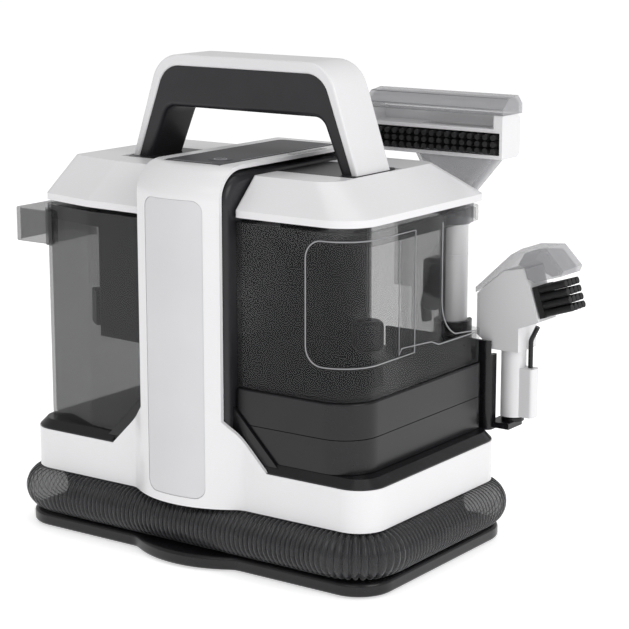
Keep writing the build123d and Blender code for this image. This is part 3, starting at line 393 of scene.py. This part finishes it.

# ---------------------------------------------------------------- cover edges

# Thin beads along the cover's lip, brow and ridge, coloured light grey as a painted highlight along those
# edges.
low, high = (tuple(value / MM for value in corner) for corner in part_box("nozzle_cover"))
edges = {
    "lip": (low[1], low[2] + 0.5),
    "brow": (low[1], low[2] + 5.0),
    "ridge": (low[1] + 8.8, high[2] - 2.0),
}
for name, (y, z) in edges.items():
    bead("nozzle_edge_" + name, [(low[0] + 1.0, y, z), (high[0] - 1.0, y, z)], 0.45, "wide_nozzle")

# ---------------------------------------------------------------- printed marks

def flat_ring(name, x, y, z, inner, outer, start, end, body):
    """Thin flat ring, or part of one, lying on a level face."""
    count = 40
    verts = []
    for level in (z, z + MARK_THICK):
        for radius in (inner, outer):
            for k in range(count + 1):
                turn = math.radians(start + (end - start) * k / count)
                verts.append((x + radius * math.cos(turn), y + radius * math.sin(turn), level))
    n = count + 1
    faces = []
    for k in range(count):
        faces.append((2 * n + k, 3 * n + k, 3 * n + k + 1, 2 * n + k + 1))
        faces.append((k, k + 1, n + k + 1, n + k))
        faces.append((k, 2 * n + k, 2 * n + k + 1, k + 1))
        faces.append((n + k, n + k + 1, 3 * n + k + 1, 3 * n + k))
    return add_mesh(name, verts, faces, PRINT, body, smooth=False)


def flat_bar(name, x0, x1, y0, y1, z, body):
    """Thin flat bar lying on a level face."""
    corners = ((x0, y0), (x1, y0), (x1, y1), (x0, y1))
    verts = [(x, y, level) for level in (z, z + MARK_THICK) for x, y in corners]
    faces = [(0, 3, 2, 1), (4, 5, 6, 7), (0, 1, 5, 4), (1, 2, 6, 5), (2, 3, 7, 6), (3, 0, 4, 7)]
    return add_mesh(name, verts, faces, PRINT, body, smooth=False)


on_button = PANEL_TOP + BUTTON_RISE
on_panel = PANEL_TOP + MARK_RISE
flat_ring("power_ring", BUTTON_X, BUTTON_Y, on_button, 4.4, 5.2, 115, 425, "power_button")
flat_bar("power_bar", BUTTON_X - 0.4, BUTTON_X + 0.4, BUTTON_Y + 2.0, BUTTON_Y + 6.0,
         on_button, "power_button")
flat_bar("panel_line_side", 25.2, 25.5, -60, 58, on_panel, "machine")
flat_bar("panel_line_front", -20, 18, -86.6, -86.3, on_panel, "machine")

# ---------------------------------------------------------------- stage

floor_mesh = bpy.data.meshes.new("floor")
floor_corners = [(-FLOOR_HALF, -FLOOR_HALF, 0), (FLOOR_HALF, -FLOOR_HALF, 0)]
floor_corners += [(FLOOR_HALF, FLOOR_HALF, 0), (-FLOOR_HALF, FLOOR_HALF, 0)]
floor_mesh.from_pydata(floor_corners, [], [(0, 1, 2, 3)])
floor = bpy.data.objects.new("floor", floor_mesh)
bpy.context.scene.collection.objects.link(floor)
floor_mesh.materials.append(FLOOR)

world = bpy.data.worlds.new("studio")
bpy.context.scene.world = world
world.use_nodes = True
world.node_tree.nodes["Background"].inputs["Color"].default_value = (1.0, 1.0, 1.0, 1.0)
world.node_tree.nodes["Background"].inputs["Strength"].default_value = 0.52


def area_light(name, place, size, power):
    """Soft rectangular light aimed at the machine."""
    light = bpy.data.lights.new(name, "AREA")
    light.shape = "RECTANGLE"
    light.size = size[0]
    light.size_y = size[1]
    light.energy = power
    obj = bpy.data.objects.new(name, light)
    obj.location = place
    obj.rotation_mode = "QUATERNION"
    obj.rotation_quaternion = (Vector(AIM) - Vector(place)).to_track_quat("-Z", "Y")
    bpy.context.scene.collection.objects.link(obj)


area_light("key", (2.3, -0.5, 1.5), (1.4, 1.4), 18)
area_light("front", (0.6, -2.6, 1.7), (1.6, 1.2), 6)
area_light("top", (0.2, 0.2, 2.6), (1.8, 1.8), 13)

# ---------------------------------------------------------------- camera

cam_data = bpy.data.cameras.new("camera")
cam_data.sensor_width = 36.0
cam_data.lens = 113.744
cam = bpy.data.objects.new("camera", cam_data)
azimuth, pitch = math.radians(35.286), math.radians(12.047)
ahead = Vector((-math.sin(azimuth) * math.cos(pitch), math.cos(azimuth) * math.cos(pitch), -math.sin(pitch)))
cam.location = (0.94767, -1.26566, 0.51796)
cam.rotation_mode = "QUATERNION"
cam.rotation_quaternion = ahead.to_track_quat("-Z", "Y")
bpy.context.scene.collection.objects.link(cam)
bpy.context.scene.camera = cam
bpy.context.scene.view_settings.view_transform = "Standard"
